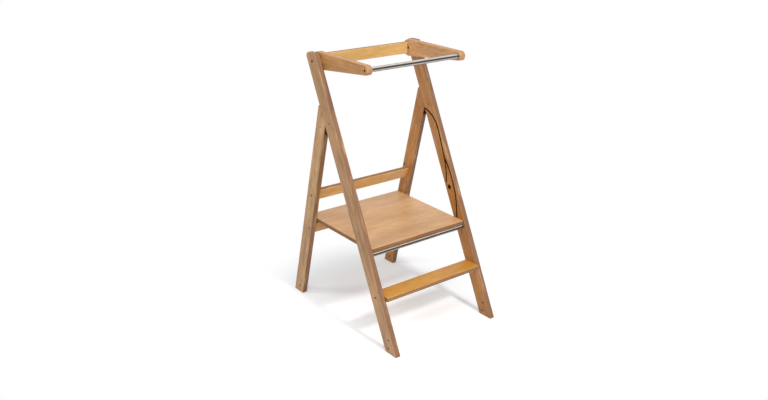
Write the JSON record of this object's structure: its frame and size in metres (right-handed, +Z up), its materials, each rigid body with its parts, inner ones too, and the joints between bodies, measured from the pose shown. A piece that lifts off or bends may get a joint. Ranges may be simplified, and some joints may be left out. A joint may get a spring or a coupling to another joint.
{
  "type": "toddler kitchen helper stool",
  "caption": "Folding wooden helper tower for a toddler: A-frame legs, lower step, standing platform held by a rod, and a swing-down guard with a steel bar.",
  "frame": {"origin": "on the floor, midway between the front toes and the rear heels and midway between the left and right legs", "axes": "+Z up, +Y to the rear where the child's back faces, +X across the stool; the child climbs in from the front at -Y"},
  "size_m": [0.44, 0.6004, 0.904],
  "materials": {
    "leg_wood": "clear-varnished hardwood ply",
    "step_wood": "clear-varnished hardwood ply",
    "rail_wood": "clear-varnished hardwood ply",
    "platform_wood": "clear-varnished hardwood ply",
    "guard_wood": "clear-varnished hardwood ply",
    "dowel_wood": "plain beech",
    "bar_steel": "bright plated steel",
    "hinge_steel": "zinc-plated steel",
    "pin_steel": "plain steel",
    "screw_steel": "black-finished steel",
    "nylon": "black nylon"
  },
  "bodies": {
    "front_frame": {"left_front_leg": "leg_wood", "right_front_leg": "leg_wood", "lower_step": "step_wood", "platform_rest_rod": "bar_steel", "left_hinge_front_leaf": "hinge_steel", "right_hinge_front_leaf": "hinge_steel", "hinge_pins": "hinge_steel", "front_hinge_cross_pins": "pin_steel", "step_screws": "screw_steel", "step_dowels": "dowel_wood", "guard_pivot_bolts": "screw_steel", "guard_spacer_washers": "nylon", "guard_barrel_nuts": "screw_steel"},
    "rear_frame": {"left_rear_leg": "leg_wood", "right_rear_leg": "leg_wood", "upper_rear_rail": "rail_wood", "lower_rear_rail": "rail_wood", "left_hinge_rear_leaf": "hinge_steel", "right_hinge_rear_leaf": "hinge_steel", "rear_hinge_cross_pins": "pin_steel", "rail_screws": "screw_steel", "rail_dowels": "dowel_wood", "platform_pivot_pins": "pin_steel"},
    "platform": {"platform_board": "platform_wood", "platform_pivot_bushes": "nylon", "platform_guide_pins": "pin_steel"},
    "guard": {"left_guard_arm": "guard_wood", "right_guard_arm": "guard_wood", "guard_back_board": "guard_wood", "guard_front_bar": "bar_steel", "guard_bar_plugs": "pin_steel", "guard_bar_screws": "screw_steel", "guard_board_screws": "screw_steel"}
  },
  "joints": [
    {"name": "leg_fold", "type": "hinge", "parent": "front_frame", "child": "rear_frame", "pos_m": [0, 0.09253, 0.65074], "axis": [-1, 0, 0], "range_deg": [0, 39.65]},
    {"name": "platform_fold", "type": "hinge", "parent": "rear_frame", "child": "platform", "pos_m": [0, 0.20832, 0.3115], "axis": [-1, 0, 0], "range_deg": [0, 59.6]},
    {"name": "guard_fold", "type": "hinge", "parent": "front_frame", "child": "guard", "pos_m": [0, 0.15504, 0.875], "axis": [1, 0, 0], "range_deg": [0, 55]}
  ],
  "couplings": [
    {"joint": "platform_fold", "follows": "leg_fold", "ratio": 1.5027}
  ]
}
